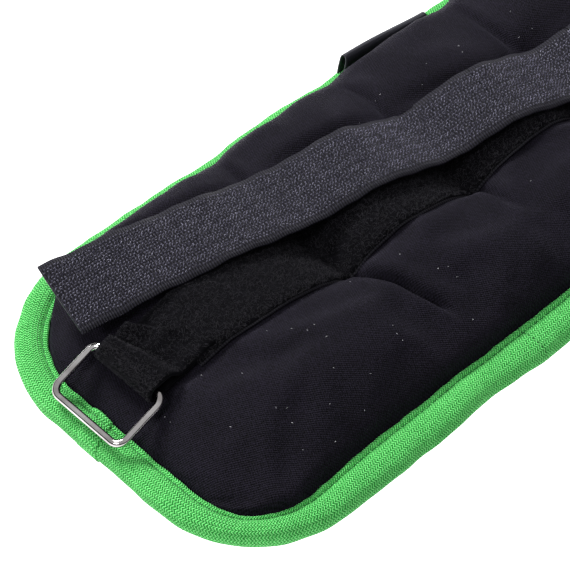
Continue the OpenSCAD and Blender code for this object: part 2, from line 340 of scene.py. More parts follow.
def plain_fibre(name, colour, light, rough, scale=900.0):
    """Thread, hooks and lint: one colour with fine unevenness; for the hooks the colour is a pale painted
    glint.
    """
    m, tree, bsdf = new_material(name)
    fine = noise(tree, place(tree), scale, 2)
    tree.links.new(ramp(tree, fine, [(0.3, colour), (0.7, light)]), bsdf.inputs["Base Color"])
    settings(bsdf, Roughness=rough)
    return m


def polished_steel():
    """Nickel-plated wire with faint drawing marks and rubbed spots."""
    m, tree, bsdf = new_material("ring_steel")
    pos = place(tree)
    scratches = noise(tree, pos, 700, 4)
    rubs = noise(tree, pos, 90, 3)
    tree.links.new(ramp(tree, rubs, [(0.4, (0.46, 0.43, 0.43)), (0.6, (0.68, 0.66, 0.66))]),
                   bsdf.inputs["Base Color"])
    rough = add(tree, mul(tree, scratches, 0.08), 0.07)
    tree.links.new(rough, bsdf.inputs["Roughness"])
    tree.links.new(bump(tree, scratches, 0.03, 0.00002), bsdf.inputs["Normal"])
    settings(bsdf, Metallic=1)
    return m


def shot_metal():
    m, tree, bsdf = new_material("shot_metal")
    grain = noise(tree, place(tree), 500, 2)
    tree.links.new(ramp(tree, grain, [(0.4, (0.12, 0.12, 0.13)), (0.6, (0.4, 0.4, 0.41))]),
                   bsdf.inputs["Base Color"])
    tree.links.new(bump(tree, grain, 0.8, 0.001), bsdf.inputs["Normal"])
    settings(bsdf, Metallic=0.8, Roughness=0.5)
    return m


M_COVER = neoprene("cover_neoprene", (0.0015, 0.0012, 0.0024), (0.0118, 0.0098, 0.0182), 0.8, 0.07)
M_LINING = neoprene("lining_knit", (0.010, 0.010, 0.012), (0.026, 0.026, 0.030), 0.7, 0.25)
M_BINDING = binding_knit()
M_STITCH = plain_fibre("stitch_thread", (0.006, 0.13, 0.02), (0.02, 0.24, 0.045), 0.6)
M_PILE = pile("loop_pile", (0.0010, 0.0010, 0.0014), (0.0050, 0.0048, 0.0064))
M_FIBRE = plain_fibre("pile_fibre", (0.002, 0.0018, 0.0028), (0.026, 0.023, 0.034), 0.8)
M_SELVAGE = woven("tape_selvage", (0.004, 0.004, 0.006), (0.024, 0.023, 0.032))
M_STRAP = woven("strap_weave", (0.0010, 0.0008, 0.002), (0.020, 0.0185, 0.031))
# the hooks' pale blue-grey is a painted glint: it stands in for the highlights on the black nylon hooks
M_HOOK_PAINTED_GLINT = plain_fibre("nylon_hooks_painted_glint", (0.03, 0.027, 0.05), (0.34, 0.33, 0.44), 0.25, 500)
M_LABEL = woven("label_ribbon", (0.012, 0.012, 0.017), (0.05, 0.05, 0.064), 0.0006, 0.0009, 0.4)
M_STEEL = polished_steel()
M_BAG = woven("bag_cloth", (0.05, 0.05, 0.05), (0.16, 0.16, 0.16))
M_SHOT = shot_metal()
M_LINT = plain_fibre("lint", (0.3, 0.3, 0.34), (0.75, 0.74, 0.78), 0.8)

# ---- the cuff's outline


def corner_in(d, r):
    d = np.maximum(d, 0)
    return np.where(d >= r, 0.0, r - np.sqrt(np.maximum(0.0, r * r - (r - d) ** 2)))


def near_width(x):
    return 1 + NEAR_EXTRA * smoothstep((HALF_L - 34 - np.abs(x)) / 40)


def near_y(x, inset):
    radius = NEAR_R - inset * (1 + NEAR_NARROWING)
    return -HALF_W + inset * near_width(x) + corner_in(HALF_L - inset - np.abs(x), radius)


def far_y(x, inset):
    return HALF_W - inset - corner_in(HALF_L - inset - np.abs(x), FAR_R - inset)


def outline_path(step):
    """Points, outward normals and running length round the cuff, anticlockwise from the +X end."""
    pieces = []

    def line(a, b, n):
        length = math.hypot(b[0] - a[0], b[1] - a[1])
        for k in range(max(1, round(length / step))):
            t = k / max(1, round(length / step))
            pieces.append((a[0] + (b[0] - a[0]) * t, a[1] + (b[1] - a[1]) * t, *n))

    def arc(cx, cy, r, a0):
        count = max(6, round(r * math.pi / 2 / step))
        for k in range(count):
            a = math.radians(a0 + 90 * k / count)
            pieces.append((cx + r * math.cos(a), cy + r * math.sin(a), math.cos(a), math.sin(a)))

    line((HALF_L, -HALF_W + NEAR_R), (HALF_L, HALF_W - FAR_R), (1, 0))
    arc(HALF_L - FAR_R, HALF_W - FAR_R, FAR_R, 0)
    line((HALF_L - FAR_R, HALF_W), (-HALF_L + FAR_R, HALF_W), (0, 1))
    arc(-HALF_L + FAR_R, HALF_W - FAR_R, FAR_R, 90)
    line((-HALF_L, HALF_W - FAR_R), (-HALF_L, -HALF_W + NEAR_R), (-1, 0))
    arc(-HALF_L + NEAR_R, -HALF_W + NEAR_R, NEAR_R, 180)
    line((-HALF_L + NEAR_R, -HALF_W), (HALF_L - NEAR_R, -HALF_W), (0, -1))
    arc(HALF_L - NEAR_R, -HALF_W + NEAR_R, NEAR_R, 270)
    p = np.array(pieces)
    seg = np.hypot(*(np.roll(p[:, :2], -1, axis=0) - p[:, :2]).T)
    return p[:, :2], p[:, 2:], np.concatenate([[0], np.cumsum(seg)])


# ---- the cover
def valley_path(k, y):
    """Where valley k runs: it swings towards +X on the near side, where the fold settles."""
    swing = (12.0, 7.0, 5.0)[k]
    return VALLEYS[k] + swing * smoothstep((4 - y) / 52) + 1.2 * wobble(y, 0 * y, 30, 40 + k)


def far_fullness(x):
    """The pockets are packed against the far edge, less so towards the rounded ends."""
    return smoothstep((HALF_L - 14 - np.abs(x)) / 42)


def over_the_edge(grid):
    """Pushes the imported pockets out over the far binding."""
    x, y = grid[..., 0], grid[..., 1]
    near, far = near_y(x, BAND), far_y(x, BAND)
    w = (2 * y - near - far) / np.maximum(1, far - near)
    out = smoothstep((w - 0.42) / 0.42) * (1 - smoothstep((w - 0.95) / 0.05))
    pinch = 1 - 0.22 * sum(np.exp(-((x - v) / 9) ** 2) for v in VALLEYS)
    grid[..., 1] += 7.2 * out * far_fullness(x) * pinch
    up = smoothstep((w - 0.35) / 0.3) * (1 - smoothstep((w - 0.85) / 0.13))
    grid[..., 2] += 3.2 * up * far_fullness(x) * pinch
    return grid


def cover_shape(x, y):
    """Height of the padded cover before it is inflated."""
    near, far = near_y(x, BAND), far_y(x, BAND)
    w = (2 * y - near - far) / np.maximum(1, far - near)
    v = np.clip(np.abs(w), 0, 1)
    full = far_fullness(x)
    across = (1 - v ** 2.7) ** (0.47 - np.clip(w, 0, 1) ** 0.5 * 0.16 * full)
    t = np.clip((HALF_L - BAND - np.abs(x)) / 58, 0, 1)
    ends = (1 - (1 - t) ** 2.3) ** 0.86
    z = RIM_Z + (CROWN - RIM_Z) * across * ends
    at_tape = np.exp(-((y - tape_mid(x)) / 21) ** 4)
    for k in range(3):
        d = x - valley_path(k, y)
        broad = np.exp(-(d / 17) ** 2)
        sharp = np.exp(-np.abs(d) / 2.4)
        reach = (46, 34, 40)[k]
        fade = smoothstep((reach + 10 - np.abs(y - tape_mid(x))) / 34) * (1.9, 1.2, 1.3)[k]
        z = z - across * (broad * (1.8 + 6.0 * at_tape) + sharp * (1.7 * fade + 2.4 * at_tape))
    holder = np.exp(-((x - RING_X) / 13) ** 2 - ((y - RING_Y) / 22) ** 4)
    return z - 1.6 * holder


def cover_grid(step_x, step_y):
    """x rows and y columns of the cover, tucked a little way under the binding."""
    inset = BAND - 2.2
    reach = HALF_L - inset
    n = round(2 * reach / step_x)
    s = np.linspace(-1, 1, n + 1)
    xs = reach * np.sign(s) * (1 - (1 - np.abs(s)) ** 1.12)
    cols = round((2 * HALF_W - 2 * inset) / step_y)
    k = np.linspace(0, 1, cols + 1)
    near, far = near_y(xs, inset), far_y(xs, inset)
    y = near[:, None] + (far - near)[:, None] * k[None, :]
    x = np.repeat(xs[:, None], cols + 1, axis=1)
    return x, y


def inflate(x, y, z, frames, cap):
    """The cover's grid after it is blown up as cloth, held at its rim and along the valleys."""
    rows, cols = x.shape
    start = np.stack([x, y, z], -1)
    obj = mesh_object("cover_sim", start.reshape(-1, 3), grid_faces(rows, cols), M_COVER)
    pins = obj.vertex_groups.new(name="pins")
    inner_near, inner_far = near_y(x, BAND + 0.5), far_y(x, BAND + 0.5)
    held = (y < inner_near) | (y > inner_far) | (np.abs(x) > HALF_L - BAND - 0.5)
    spacing = abs(x[rows // 2 + 1, 0] - x[rows // 2, 0])
    for k in range(3):
        held |= np.abs(x - valley_path(k, y)) < 0.52 * spacing
    pins.add([int(i) for i in np.flatnonzero(held.ravel())], 1.0, "REPLACE")
    mod = obj.modifiers.new("Cloth", "CLOTH")
    s = mod.settings
    s.quality = 5
    s.mass = 0.3
    s.tension_stiffness = 25
    s.compression_stiffness = 20
    s.shear_stiffness = 8
    s.bending_stiffness = 0.35
    s.shrink_min = -0.035
    s.use_pressure = True
    s.uniform_pressure_force = 2.2
    s.vertex_group_mass = "pins"
    s.effector_weights.gravity = 0
    mod.collision_settings.use_collision = False
    mod.collision_settings.use_self_collision = False
    mod.point_cache.frame_start = 1
    mod.point_cache.frame_end = frames
    scene = bpy.context.scene
    for f in range(1, frames + 1):
        scene.frame_set(f)
    evaluated = obj.evaluated_get(bpy.context.evaluated_depsgraph_get())
    co = np.zeros(rows * cols * 3)
    evaluated.data.vertices.foreach_get("co", co)
    scene.frame_set(1)
    bpy.data.objects.remove(obj, do_unlink=True)
    moved = co.reshape(rows, cols, 3) / MM - start
    length = np.maximum(1e-6, np.linalg.norm(moved, axis=-1, keepdims=True))
    moved *= cap * np.tanh(length / cap) / length
    return start + moved


def smooth_grid(g, times):
    for _ in range(times):
        core = g[1:-1, 1:-1]
        around = g[:-2, 1:-1] + g[2:, 1:-1] + g[1:-1, :-2] + g[1:-1, 2:]
        g[1:-1, 1:-1] = core * 0.5 + around * 0.125
    return g


def refine(g, axes=(0, 1)):
    """Twice the rows and columns, by cubic interpolation along each."""
    for axis in axes:
        a = np.moveaxis(g, axis, 0)
        padded = np.concatenate([2 * a[:1] - a[1:2], a, 2 * a[-1:] - a[-2:-1]])
        mid = (-padded[:-3] + 9 * padded[1:-2] + 9 * padded[2:-1] - padded[3:]) / 16
        out = np.empty((2 * len(a) - 1, *a.shape[1:]))
        out[::2] = a
        out[1::2] = mid
        g = np.moveaxis(out, 0, axis)
    return g


gx, gy = cover_grid(3.0, 3.0)
cover = np.stack([gx, gy, cover_shape(gx, gy)], -1)
cover = inflate(gx, gy, cover[..., 2], 22, 1.5)
cover = over_the_edge(refine(refine(smooth_grid(cover, 2)), (0,)))
cover[..., 2] = np.minimum(cover[..., 2], CROWN + 4.0)


def crease(grid):
    """The sewn line of each valley, pulled in sharply where the cover is held down."""
    x, y = grid[..., 0], grid[..., 1]
    rise = np.clip((grid[..., 2] - RIM_Z) / 8, 0, 1)
    for k in range(3):
        d = x - valley_path(k, y)
        low, high, depth = ((-52, -6, 3.4), (-34, -8, 2.6), (-36, -8, 2.6))[k]
        near = smoothstep((y - low) / 16) * (1 - smoothstep((y - high - 14) / 8))
        far = smoothstep((y - 24) / 8) * (1 - smoothstep((y - 48) / 12)) * 0.6
        line = np.exp(-(d / 1.5) ** 2) * depth - 0.55 * np.exp(-((d - 4.5) / 2.6) ** 2)
        grid[..., 2] -= line * (near + far) * rise
    return grid


def under_strap(grid):
    """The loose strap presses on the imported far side."""
    x, y = grid[..., 0], grid[..., 1]
    middle = tape_mid(x) + STRAP_SLOPE * np.maximum(0, STRAP_TURN_X - x)
    inside = 1 - smoothstep((np.abs(y - middle) - STRAP_W / 2 - 1) / 7)
    top = CROWN + 0.2 - 1.2 * inside
    excess = np.maximum(0, grid[..., 2] - top)
    grid[..., 2] -= excess * inside
    return grid


def under_binding(grid):
    """The rim dips, so that it stays under the binding's stitched groove."""
    x, y = grid[..., 0], grid[..., 1]
    margin = np.minimum(y - near_y(x, BAND), far_y(x, BAND) - y)
    margin = np.minimum(margin, HALF_L - BAND - np.abs(x))
    rim = 1 - smoothstep((margin + 0.2) / 1.6)
    grid[..., 2] -= rim * (grid[..., 2] - (RIM_Z - 1.7)) * (grid[..., 2] < RIM_Z + 3)
    return grid


cover = under_binding(under_strap(crease(cover)))
cover_x = cover[:, cover.shape[1] // 2, 0]


def cover_height(x, y):
    """Height of the finished cover, by interpolation in its own grid."""
    x, y = np.broadcast_arrays(np.asarray(x, float), np.asarray(y, float))
    out = np.empty(x.shape)
    for i in np.ndindex(x.shape):
        r = int(np.clip(np.searchsorted(cover_x, x[i]) - 1, 0, len(cover_x) - 2))
        f = np.clip((x[i] - cover_x[r]) / (cover_x[r + 1] - cover_x[r]), 0, 1)
        a = np.interp(y[i], cover[r, :, 1], cover[r, :, 2])
        b = np.interp(y[i], cover[r + 1, :, 1], cover[r + 1, :, 2])
        out[i] = a + (b - a) * f
    return out


# The tape is stiffer than the cover, so it bridges small dips, and the cover is held down under it.
tape_xs = np.linspace(-HALF_L + BAND, HALF_L - BAND, 300)
under_tape = np.min([cover_height(tape_xs, tape_mid(tape_xs) + o) for o in (-13, -6, 0, 6, 13)], axis=0)
kernel = np.hanning(9) / np.hanning(9).sum()
tape_line = np.convolve(np.pad(under_tape, 4, mode="edge"), kernel, mode="valid") + 0.4


def tape_height(x):
    return np.interp(x, tape_xs, tape_line)


off_tape = np.abs(cover[..., 1] - tape_mid(cover[..., 0]))
pressed = np.exp(-(off_tape / (TAPE_W / 2 + 0.6)) ** 10)
target = tape_height(cover[..., 0]) - 0.55
cover[..., 2] = np.where(cover[..., 2] > target, cover[..., 2] + (target - cover[..., 2]) * pressed,
                         cover[..., 2])
edge_dip = np.exp(-((off_tape - TAPE_W / 2 - 0.8) / 1.5) ** 2)
cover[..., 2] -= 0.5 * edge_dip * (cover[..., 2] > RIM_Z + 4)


def stretch_of(x):
    """Which of the three stretches of a long piece x is in."""
    return 0 if x < SPLITS[0] else 1 if x < SPLITS[1] else 2


def split_rows(xs):
    """Row ranges of the three stretches that meet at the middles of the inner pockets."""
    cuts = [0, *[int(np.argmin(np.abs(xs - s))) for s in SPLITS], len(xs) - 1]
    return list(zip(cuts[:-1], cuts[1:]))


def across_valley(obj):
    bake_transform(obj)


def share_normals(obj, normals):
    """Sets the whole surface's own normals on one stretch of it, so that the joins don't show."""
    obj.data.normals_split_custom_set_from_vertices(normals.tolist())


def build_cover():
    thick = 2.2
    made = []
    for k, (a, b) in enumerate(split_rows(cover_x)):
        top = cover[a:b + 1]
        bottom = top - np.array([0, 0, thick])
        bottom[..., 2] = np.maximum(bottom[..., 2], 3.6)
        verts, faces = closed_sheet(top, bottom)
        uv = verts[:, :2] * MM
        obj = mesh_object(f"padded_cover_{k + 1}", verts, faces, M_COVER, uv=uv)
        made.append(obj)
    return made


def grid_normals(g):
    dx = np.gradient(g, axis=0)
    dy = np.gradient(g, axis=1)
    n = np.cross(dx, dy)
    return n / np.maximum(1e-9, np.linalg.norm(n, axis=-1, keepdims=True))


normals = grid_normals(cover)
covers = build_cover()
for k, (obj, (a, b)) in enumerate(zip(covers, split_rows(cover_x))):
    top = normals[a:b + 1].reshape(-1, 3)
    share_normals(obj, np.concatenate([top, -top]))
    across_valley(obj)
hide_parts("cover_1")
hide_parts("cover_2", "cover_3")
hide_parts("cover_4")


# ---- the lining
LINING_INSET = 11    # from the cuff's edge to the lining's


def build_lining():
    made = []
    xs = np.linspace(-HALF_L + LINING_INSET, HALF_L - LINING_INSET, 129)
    near, far = near_y(xs, LINING_INSET), far_y(xs, LINING_INSET)
    k = np.linspace(0, 1, 49)
    y = near[:, None] + (far - near)[:, None] * k
    x = np.repeat(xs[:, None], len(k), axis=1)
    sag = 0.25 + 0.22 * wobble(x, y, 26, 5) + 0.5 * sum(np.exp(-((x - v) / 2.2) ** 2) for v in VALLEYS)
    low = np.stack([x, y, np.clip(sag, 0.02, 1.2)], -1)
    high = low + np.array([0, 0, 1.6])
    for k, (a, b) in enumerate(split_rows(xs)):
        verts, faces = closed_sheet(high[a:b + 1], low[a:b + 1])
        obj = mesh_object(f"leg_lining_{k + 1}", verts, faces, M_LINING, uv=verts[:, :2] * MM)
        across_valley(obj)
        made.append(obj)
    return made


linings = build_lining()
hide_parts("lining_1")
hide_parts("lining_2", "lining_3")
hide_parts("lining_4")

# ---- the binding
PATH, PATH_N, PATH_S = outline_path(1.5)
GROOVE = 10.2        # the stitch line, measured in from the outer edge
BINDING_T = 0.7      # thickness of the knitted tape
FACE_POINTS = 15     # points of the binding's section that lie on the outer face
LAP_POINTS = 19      # points of it that the lap covers


def binding_section():
    """The folded tape in section: offset in from the edge, height. From the outer face's lip to the leg's."""
    top = [(BAND - 0.6, 6.4), (BAND, 7.2), (BAND - 0.3, 8.0), (BAND - 1.1, 8.35), (GROOVE + 0.4, 8.15),
           (GROOVE, 7.25), (GROOVE - 0.6, 8.0), (8.6, 8.7), (6.8, 8.95), (5.0, 8.9), (3.4, 8.55), (2.0, 7.9),
           (1.0, 7.0), (0.35, 5.9), (0.05, 4.7)]
    low = [(0.3, 3.2), (1.0, 1.9), (2.2, 0.9), (4.0, 0.35), (6.5, 0.2), (9.0, 0.2), (BAND, 0.3),
           (BAND + 0.2, 0.9), (BAND - 0.8, 1.3)]
    return np.array(top + low)


def binding_gather(s):
    """How far the cover's edge lifts the binding: a slight wave along the edge."""
    return 0.35 * wobble(s, 0 * s, 34, 8) + 0.18 * wobble(s, 0 * s, 11, 9)


def build_binding():
    section = binding_section()
    run = np.concatenate([[0], np.cumsum(np.hypot(*np.diff(section, axis=0).T))])
    s = PATH_S[:-1]
    lift = binding_gather(s)
    pinch = 0.12 * np.cos(2 * math.pi * s / 3.0)
    waist = np.zeros(len(s))
    for v in VALLEYS:
        on_edge = np.abs(PATH_N[:, 1]) > 0.9
        waist += on_edge * 1.6 * np.exp(-((PATH[:, 0] - v - 4) / 16) ** 2)
    far_lift = 1.8 * np.clip(PATH_N[:, 1], 0, 1) ** 2 * far_fullness(PATH[:, 0])
    rows = []
    corner = (4 * PATH_N[:, 0] ** 2 * PATH_N[:, 1] ** 2) * (PATH_N[:, 1] < 0)
    spread = (1 - (math.sqrt(2) - 1) * NEAR_NARROWING * corner)
    spread *= np.where(PATH_N[:, 1] < -0.99, near_width(PATH[:, 0]), 1.0)
    for (off, z), r in zip(section, run):
        near_groove = math.exp(-((off - GROOVE) / 1.3) ** 2) if z > 5 else 0
        inner = smoothstep(off / BAND)
        edge = off * spread + waist * (1 - 0.75 * inner) + 0.25 * wobble(s, 0 * s, 17, 12) * (1 - inner)
        edge = np.maximum(edge, 0.02) + 0.18 * wobble(s, 0 * s, 7, 13) * (off > BAND - 0.5)
        top = 1.0 if z > 3.5 else 0.0
        height = z + top * (lift + pinch * near_groove + 0.12 * wobble(s, 0 * s + r, 6, 14))
        fold = np.exp(-((PATH[:, 1] - JOIN_LO[1] - 1.5 - 0.38 * off) / 1.1) ** 2) * (PATH_N[:, 0] < -0.99)
        edge = edge + fold * 2.0 * (1 - inner) * (1 if z > 1 else 0.5)
        height = height - top * fold * 1.3 + top * 0.7 * np.exp(
            -((PATH[:, 1] - JOIN_LO[1] - 4.6 - 0.38 * off) / 1.8) ** 2) * (PATH_N[:, 0] < -0.99)
        height = height + far_lift * (1.0 if z > 3.5 else 0.25)
        rows.append(np.stack([PATH[:, 0] - PATH_N[:, 0] * edge, PATH[:, 1] - PATH_N[:, 1] * edge,
                              np.maximum(height, 0.05)], -1))
    grid = np.stack(rows, 1)
    return grid, run


BINDING, BINDING_RUN = build_binding()


def path_stretches():
    """Path indexes that lie in each of the three stretches, as open runs."""
    x = PATH[:, 0]
    n = len(x)
    marks = [(-1e9, SPLITS[0]), (SPLITS[0], SPLITS[1]), (SPLITS[1], 1e9)]
    out = []
    for lo, hi in marks:
        inside = (x >= lo - 0.8) & (x <= hi + 0.8)
        starts = [i for i in range(n) if inside[i] and not inside[i - 1]]
        runs = []
        for st in starts:
            run = [st]
            while inside[(run[-1] + 1) % n] and len(run) < n:
                run.append((run[-1] + 1) % n)
            runs.append(run)
        out.append(runs)
    return out


def inner_layer(grid, thick):
    """The same surface, thick millimetres further in."""
    normal = np.cross(np.gradient(grid, axis=0), np.gradient(grid, axis=1))
    normal /= np.maximum(1e-9, np.linalg.norm(normal, axis=-1, keepdims=True))
    if (normal * (grid - grid.mean(axis=1, keepdims=True))).sum() < 0:
        normal = -normal
    return grid - normal * thick


def join_runs(name, runs, material, cut_x):
    verts, faces, uvs = [], [], []
    cols = BINDING.shape[1]
    for run in runs:
        base = len(verts)
        g = BINDING[run].copy()
        for end in (0, -1):
            side = min(cut_x, key=lambda c: abs(c - g[end, 0, 0])) if cut_x else None
            if side is not None and abs(side - g[end, 0, 0]) < 3:
                g[end, :, 0] = side
        s0 = PATH_S[run[0]]
        lengths = s0 + np.concatenate([[0], np.cumsum(np.linalg.norm(np.diff(g[:, 8], axis=0), axis=1))])
        sheet_verts, sheet_faces = closed_sheet(g, inner_layer(g, BINDING_T))
        verts += np.asarray(sheet_verts).tolist()
        uvs += [(lengths[r] * MM, BINDING_RUN[c] * MM) for r in range(len(g)) for c in range(cols)] * 2
        faces += [tuple(base + i for i in f) for f in sheet_faces]
    return mesh_object(name, verts, faces, material, uv=uvs)


STRETCHES = path_stretches()
for k, runs in enumerate(STRETCHES):
    obj = join_runs(f"green_binding_{k + 1}", runs, M_BINDING, SPLITS)
    across_valley(obj)
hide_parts("edge_binding_1")
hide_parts("edge_binding_2", "edge_binding_3")
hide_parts("edge_binding_4")


def capsule(p, q, r, sides=6):
    """A short rounded thread from p to q."""
    p, q = np.array(p, float), np.array(q, float)
    axis = (q - p) / max(1e-9, np.linalg.norm(q - p))
    side = np.cross(axis, (0, 0, 1) if abs(axis[2]) < 0.9 else (1, 0, 0))
    side /= np.linalg.norm(side)
    up = np.cross(side, axis)
    rings = [(0.0, 0.35), (0.12, 0.85), (0.5, 1.0), (0.88, 0.85), (1.0, 0.35)]
    verts = [p + (q - p) * t + r * w * (math.cos(a) * side + math.sin(a) * up)
             for t, w in rings for a in [2 * math.pi * k / sides for k in range(sides)]]
    faces = [f[::-1] for f in grid_faces(len(rings), sides, closed_cols=True)]
    faces.append(tuple(range(sides)))
    faces.append(tuple((len(rings) - 1) * sides + i for i in range(sides))[::-1])
    return verts, faces


class Collector:
    """Gathers many small solids into one mesh."""

    def __init__(self):
        self.verts, self.faces = [], []

    def add(self, verts, faces):
        base = len(self.verts)
        self.verts += [list(v) for v in verts]
        self.faces += [tuple(base + i for i in f) for f in faces]

    def build(self, name, material):
        uv = [(v[0] * MM, v[1] * MM) for v in self.verts]
        return mesh_object(name, self.verts, self.faces, material, uv=uv)


def finish_stretches(parts, name, material):
    """One piece for each stretch."""
    for k, part in enumerate(parts):
        obj = part.build(f"{name}_{k + 1}", material)
        across_valley(obj)


def edge_stitches():
    """Lockstitches in the groove, 3 mm apart, each 2.1 mm long."""
    pitch, length = 3.0, 2.1
    groove_col = int(np.argmin(np.abs(binding_section()[:FACE_POINTS, 0] - GROOVE)))
    line = BINDING[:, groove_col]
    closed = np.concatenate([line, line[:1]])
    run = np.concatenate([[0], np.cumsum(np.linalg.norm(np.diff(closed, axis=0), axis=1))])
    parts = [Collector() for _ in range(3)]

    def at(s):
        return np.array([np.interp(s % run[-1], run, closed[:, i]) for i in range(3)])

    for i in range(int(run[-1] / pitch)):
        p, q = at(i * pitch), at(i * pitch + length)
        mid = (p[0] + q[0]) / 2
        k = stretch_of(mid)
        p[2] += 0.22
        q[2] += 0.22
        parts[k].add(*capsule(p, q, 0.26))
    return parts


finish_stretches(edge_stitches(), "edge_stitches", M_STITCH)


# ---- the lap of the binding
LAP_W = 10.5


def build_join():
    """The outer end of the binding is tucked under and laps the inner end, with a lump at each edge."""
    lap_y = (JOIN_LO[1] + JOIN_HI[1]) / 2
    section = binding_section()
    wide = 9
    rows = []
    for j in range(wide):
        t = j / (wide - 1)
        offset = (t - 0.5) * LAP_W
        lift = 0.95 * math.sin(math.pi * t) ** 0.45
        lean = 4.5
        pts = []
        for off, z in section[:LAP_POINTS]:
            y = lap_y + offset + lean * (off / BAND - 0.5)
            out = lift * (1.0 if off < 3 else 0.4 if off > BAND - 2 else 0.1)
            crumple = 0.25 * math.sin(off * 1.9 + 5 * t)
            pts.append((-HALF_L + max(0.02, off) + (out if off > BAND - 2 else 0),
                        y, max(0.05, z + (lift + crumple * lift if z > 4 else 0.0))))
        rows.append(pts)
    g = np.array(rows)
    inner = g.copy()
    inner[..., 2] -= 0.9
    verts, faces = closed_sheet(g, inner)
    s = np.repeat(np.arange(wide) * 1.1, LAP_POINTS)
    uv = np.stack([s, np.tile(BINDING_RUN[:LAP_POINTS], wide)], -1) * MM
    obj = mesh_object("binding_lap", verts, faces, M_BINDING, uv=np.concatenate([uv, uv]))
    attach(obj, "pocket_1")
    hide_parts("binding_join")


build_join()


# ---- loop tape
def ribbon_strip(xs, y0, y1, z_of, cols, lift, thick):
    sides = np.linspace(y0, y1, cols)
    top = np.array([[(x, tape_mid(x) + s, z_of(x, s) + lift + thick) for s in sides] for x in xs])
    bottom = top.copy()
    bottom[..., 2] -= thick
    return top, bottom


TAPE_X0 = -128.0
TAPE_X1 = ANCHOR_LO[0] + 4


def tape_surface(x, side):
    """Underside of the tape, side millimetres from its middle line."""
    edge = abs(side) / (TAPE_W / 2)
    return float(tape_height(x)) - 0.35 * edge ** 6 + 0.1 * math.sin(x * 0.9 + side)


def build_loop_tape():
    xs = np.concatenate([np.arange(TAPE_X0, SPLITS[0], 2.0), [SPLITS[0]],
                         np.arange(SPLITS[0] + 2, SPLITS[1], 2.0), [SPLITS[1]],
                         np.arange(SPLITS[1] + 2, TAPE_X1, 2.0)])
    selvage = 0.7
    for k, (a, b) in enumerate(split_rows(xs)):
        rows = xs[a:b + 1]
        top, bottom = ribbon_strip(rows, -TAPE_W / 2, TAPE_W / 2, tape_surface, 13, 0.1, 0.7)
        verts, faces = closed_sheet(top, bottom)
        obj = mesh_object(f"loop_tape_base_{k + 1}", verts, faces, M_SELVAGE, uv=verts[:, :2] * MM)
        across_valley(obj)
        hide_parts(*(["loop_tape_1"], ["loop_tape_2", "loop_tape_3"], ["loop_tape_4"])[k])
        half = TAPE_W / 2 - selvage
        top, bottom = ribbon_strip(rows, -half, half, tape_surface, 17, 0.7, 1.0)
        top[:, 0, 2] -= 0.6
        top[:, -1, 2] -= 0.6
        verts, faces = closed_sheet(top, bottom)
        obj = mesh_object(f"loop_pile_{k + 1}", verts, faces, M_PILE, uv=verts[:, :2] * MM)
        across_valley(obj)


build_loop_tape()


def fibre_loop(base, normal, reach, height, turn, width):
    """A thin arched fibre, three-sided, both ends in the pile."""
    a = np.array([math.cos(turn), math.sin(turn), 0.0])
    pts = [base + a * reach * t + normal * height * math.sin(math.pi * (0.08 + 0.84 * (t + 0.5)))
           for t in (-0.5, -0.25, 0.0, 0.25, 0.5)]
    side = np.cross(a, normal)
    verts, faces = [], []
    for p in pts:
        verts += [p + side * width, p - side * width, p + normal * width]
    for i in range(4):
        for c in range(3):
            d = (c + 1) % 3
            faces.append((i * 3 + c, i * 3 + d, i * 3 + 3 + d, i * 3 + 3 + c))
    faces += [(2, 1, 0), (12, 13, 14)]
    return verts, faces


def build_fibres():
    parts = [Collector() for _ in range(3)]
    up = np.array([0, 0, 1.0])
    half = TAPE_W / 2 - 0.4
    for _ in range(15000):
        x = rng.uniform(TAPE_X0, TAPE_X1)
        side = rng.uniform(-half, half)
        k = stretch_of(x)
        base = np.array([x, tape_mid(x) + side, tape_surface(x, side) + 1.5])
        parts[k].add(*fibre_loop(base, up, rng.uniform(0.7, 1.9), rng.uniform(0.3, 0.9),
                                 rng.uniform(0, math.pi), rng.uniform(0.03, 0.06)))
    finish_stretches(parts, "pile_fibres", M_FIBRE)


build_fibres()


# ---- ring and holder
def fold_profile():
    """The holder from the side: from its sewn end, over the ring's bar and back under it."""
    radius = 2.9         # of the tape's middle line, round the bar
    back = [(x, float(tape_height(x)) + 3.5) for x in (-126, -129, -132, -135, -138)]
    over = [(RING_X + 5.5, RING_Z + 3.3), (RING_X + 2.5, RING_Z + 3.3)]
    turns = [math.radians(a) for a in range(80, 281, 20)]
    loop = [(RING_X + radius * math.cos(a), RING_Z + radius * math.sin(a)) for a in turns]
    under = [(RING_X + 3.5, RING_Z - 1.9), (RING_X + 7.5, RING_Z - 0.6)]
    low = [(x, float(tape_height(x)) + 1.1) for x in range(-134, -96, 4)]
    return np.array(back + over + loop + under + low)


def catmull(points, per):
    p = np.concatenate([[2 * points[0] - points[1]], points, [2 * points[-1] - points[-2]]])
    out = []
    for i in range(1, len(p) - 2):
        for t in np.arange(per) / per:
            a, b, c, d = p[i - 1:i + 3]
            out.append(0.5 * (2 * b + (c - a) * t + (2 * a - 5 * b + 4 * c - d) * t * t
                              + (3 * b - a - 3 * c + d) * t ** 3))
    out.append(p[-2])
    return np.array(out)


def ribbon_from_profile(profile, y0, y1, cols, thick, edge_roll=0.0):
    """A tape of that width whose middle line is the profile in X and Z."""
    d = np.gradient(profile, axis=0)
    d /= np.maximum(1e-9, np.linalg.norm(d, axis=1, keepdims=True))
    n = np.stack([-d[:, 1], d[:, 0]], -1)
    ys = np.linspace(y0, y1, cols)
    edge = np.abs(np.linspace(-1, 1, cols)) ** 6 * edge_roll
    a = profile[:, None, :] + n[:, None, :] * (thick / 2 - edge[None, :, None])
    b = profile[:, None, :] - n[:, None, :] * (thick / 2 + edge[None, :, None])
    y = np.broadcast_to(ys, (len(profile), cols))
    top = np.stack([a[..., 0], y, a[..., 1]], -1)
    bottom = np.stack([b[..., 0], y, b[..., 1]], -1)
    return top, bottom


HOLDER_HALF = 13.6


